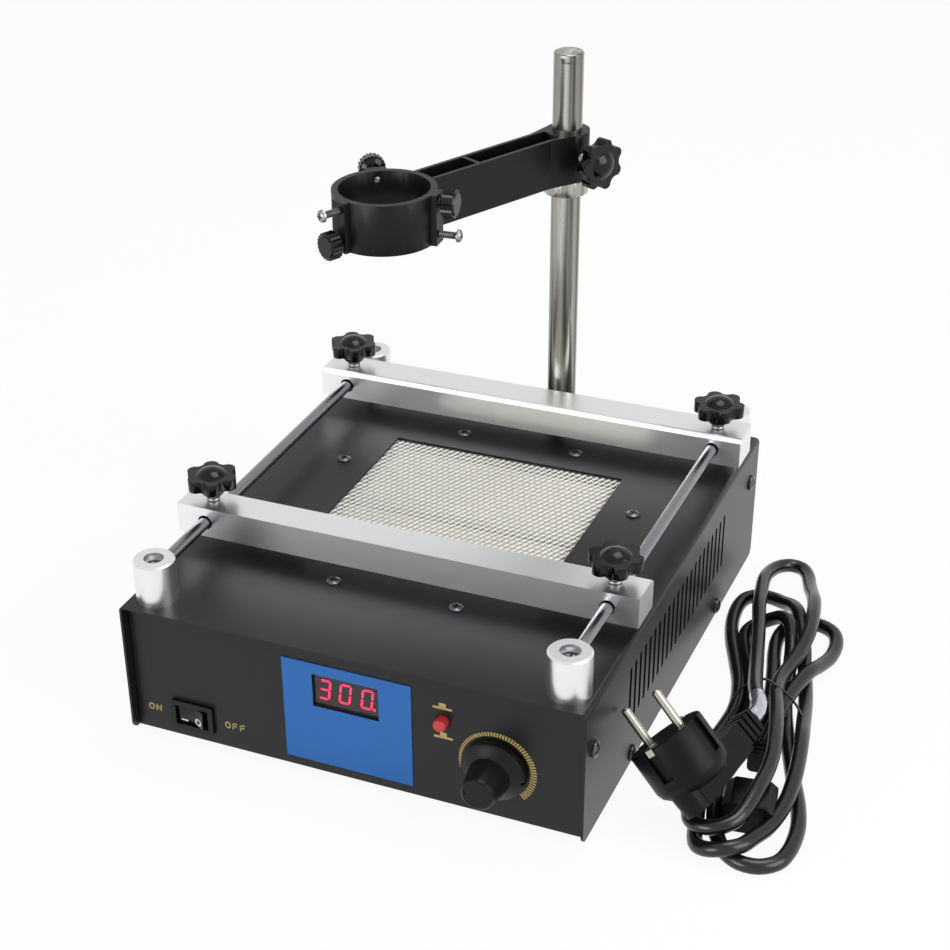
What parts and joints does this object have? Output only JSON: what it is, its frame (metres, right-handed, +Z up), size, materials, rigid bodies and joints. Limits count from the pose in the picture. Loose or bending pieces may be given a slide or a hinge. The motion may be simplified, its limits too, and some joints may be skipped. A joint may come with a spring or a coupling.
{
  "type": "pcb preheater",
  "caption": "Bench infrared preheater for circuit boards: ventilated housing, guarded ceramic plates, sliding board bars on rods, column with swinging tool arm, mains lead.",
  "frame": {"origin": "on the bench under the middle of the box round the housing and its front knob", "axes": "+Z up, -Y out of the front panel, +X to the right seen from the front"},
  "size_m": [0.323, 0.2878, 0.2744],
  "materials": {
    "powder_coat": "satin black powder coat",
    "rubber_foot": "matt rubber",
    "black_screw": "blackened steel",
    "guard_steel": "plain steel",
    "tray_steel": "bright sheet",
    "ceramic": "cream glazed heater plate",
    "steel": "bright steel",
    "label_blue": "blue label plate",
    "display_red": "dark red window",
    "black_plastic": "moulded black",
    "gloss_black": "moulded black, gloss",
    "button_red": "red",
    "board_green": "solder mask",
    "brass": "bare",
    "aluminium": "satin anodised",
    "chrome": "polished",
    "cable_black": "cable jacket"
  },
  "bodies": {
    "housing": {"cover": "powder_coat", "chassis": "powder_coat", "feet": "rubber_foot", "cover_screws": "black_screw", "guard_screws": "black_screw", "mesh_guard": "guard_steel", "heater_tray": "tray_steel", "plate_front": "ceramic", "plate_rear": "ceramic", "plate_clips": "steel", "thermocouple": "steel", "front_label": "label_blue", "display_window": "display_red", "display": "black_plastic", "rocker_frame": "gloss_black", "push_switch": "black_plastic", "pot": "steel", "control_board": "board_green", "board_spacers": "brass", "transformer": "tray_steel", "heat_sink": "aluminium", "inlet": "gloss_black", "inlet_pins": "steel", "posts": "aluminium", "post_screws": "steel", "rods": "steel", "column": "chrome", "column_cap": "chrome", "column_bolt": "steel", "plug": "black_plastic", "plug_pins": "steel", "connector": "black_plastic", "lead_hank": "cable_black"},
    "front_bar_body": {"front_bar": "aluminium"},
    "rear_bar_body": {"rear_bar": "aluminium"},
    "knob_front_left": {"knob_fl": "gloss_black", "stud_fl": "steel"},
    "knob_front_right": {"knob_fr": "gloss_black", "stud_fr": "steel"},
    "knob_rear_left": {"knob_rl": "gloss_black", "stud_rl": "steel"},
    "knob_rear_right": {"knob_rr": "gloss_black", "stud_rr": "steel"},
    "collar_body": {"collar": "chrome"},
    "arm_body": {"arm": "black_plastic", "ring_screws": "steel"},
    "arm_clamp": {"arm_knob": "gloss_black", "arm_stud": "steel"},
    "ring_thumb_left": {"thumb_left": "gloss_black", "tip_left": "steel"},
    "ring_thumb_right": {"thumb_right": "gloss_black", "tip_right": "steel"},
    "ring_thumb_back": {"thumb_back": "gloss_black", "tip_back": "steel"},
    "rocker_body": {"rocker": "gloss_black"},
    "button_body": {"push_button": "button_red"},
    "dial_body": {"dial": "black_plastic", "dial_shaft": "steel"}
  },
  "joints": [
    {"name": "front_bar_slide", "type": "slide", "parent": "housing", "child": "front_bar_body", "axis": [0, 1, 0], "range_m": [-0.035, 0.048]},
    {"name": "rear_bar_slide", "type": "slide", "parent": "housing", "child": "rear_bar_body", "axis": [0, 1, 0], "range_m": [-0.078, 0.003]},
    {"name": "knob_front_left_turn", "type": "hinge", "parent": "front_bar_body", "child": "knob_front_left", "pos_m": [-0.102, -0.0541, 0.09825], "axis": [0, 0, 1], "range_deg": [-180, 180]},
    {"name": "knob_front_right_turn", "type": "hinge", "parent": "front_bar_body", "child": "knob_front_right", "pos_m": [0.102, -0.0541, 0.09825], "axis": [0, 0, 1], "range_deg": [-180, 180]},
    {"name": "knob_rear_left_turn", "type": "hinge", "parent": "rear_bar_body", "child": "knob_rear_left", "pos_m": [-0.102, 0.1059, 0.09825], "axis": [0, 0, 1], "range_deg": [-180, 180]},
    {"name": "knob_rear_right_turn", "type": "hinge", "parent": "rear_bar_body", "child": "knob_rear_right", "pos_m": [0.102, 0.1059, 0.09825], "axis": [0, 0, 1], "range_deg": [-180, 180]},
    {"name": "collar_slide", "type": "slide", "parent": "housing", "child": "collar_body", "axis": [0, 0, 1], "range_m": [-0.085, 0.028]},
    {"name": "arm_swing", "type": "hinge", "parent": "collar_body", "child": "arm_body", "pos_m": [0.009, 0.1309, 0.2108], "axis": [0, 0, 1], "range_deg": [-150, 150]},
    {"name": "arm_clamp_turn", "type": "hinge", "parent": "arm_body", "child": "arm_clamp", "pos_m": [0.02329, 0.12371, 0.2233], "axis": [0.8934, -0.4493, 0], "range_deg": [-180, 180]},
    {"name": "thumb_left_screw", "type": "slide", "parent": "arm_body", "child": "ring_thumb_left", "axis": [-0.4493, -0.8934, 0], "range_m": [-0.001, 0.004]},
    {"name": "thumb_right_screw", "type": "slide", "parent": "arm_body", "child": "ring_thumb_right", "axis": [0.9983, 0.0576, 0], "range_m": [-0.001, 0.004]},
    {"name": "thumb_back_screw", "type": "slide", "parent": "arm_body", "child": "ring_thumb_back", "axis": [-0.549, 0.8358, 0], "range_m": [-0.0076, 0.004]},
    {"name": "rocker_tilt", "type": "hinge", "parent": "housing", "child": "rocker_body", "pos_m": [-0.0828, -0.1181, 0.0189], "axis": [0, 0, 1], "range_deg": [0, 18]},
    {"name": "button_press", "type": "slide", "parent": "housing", "child": "button_body", "axis": [0, 1, 0], "range_m": [0, 0.0025], "stiffness_N_per_m": 500},
    {"name": "dial_turn", "type": "hinge", "parent": "housing", "child": "dial_body", "pos_m": [0.0718, -0.1211, 0.0332], "axis": [0, -1, 0], "range_deg": [-225, 45]}
  ]
}
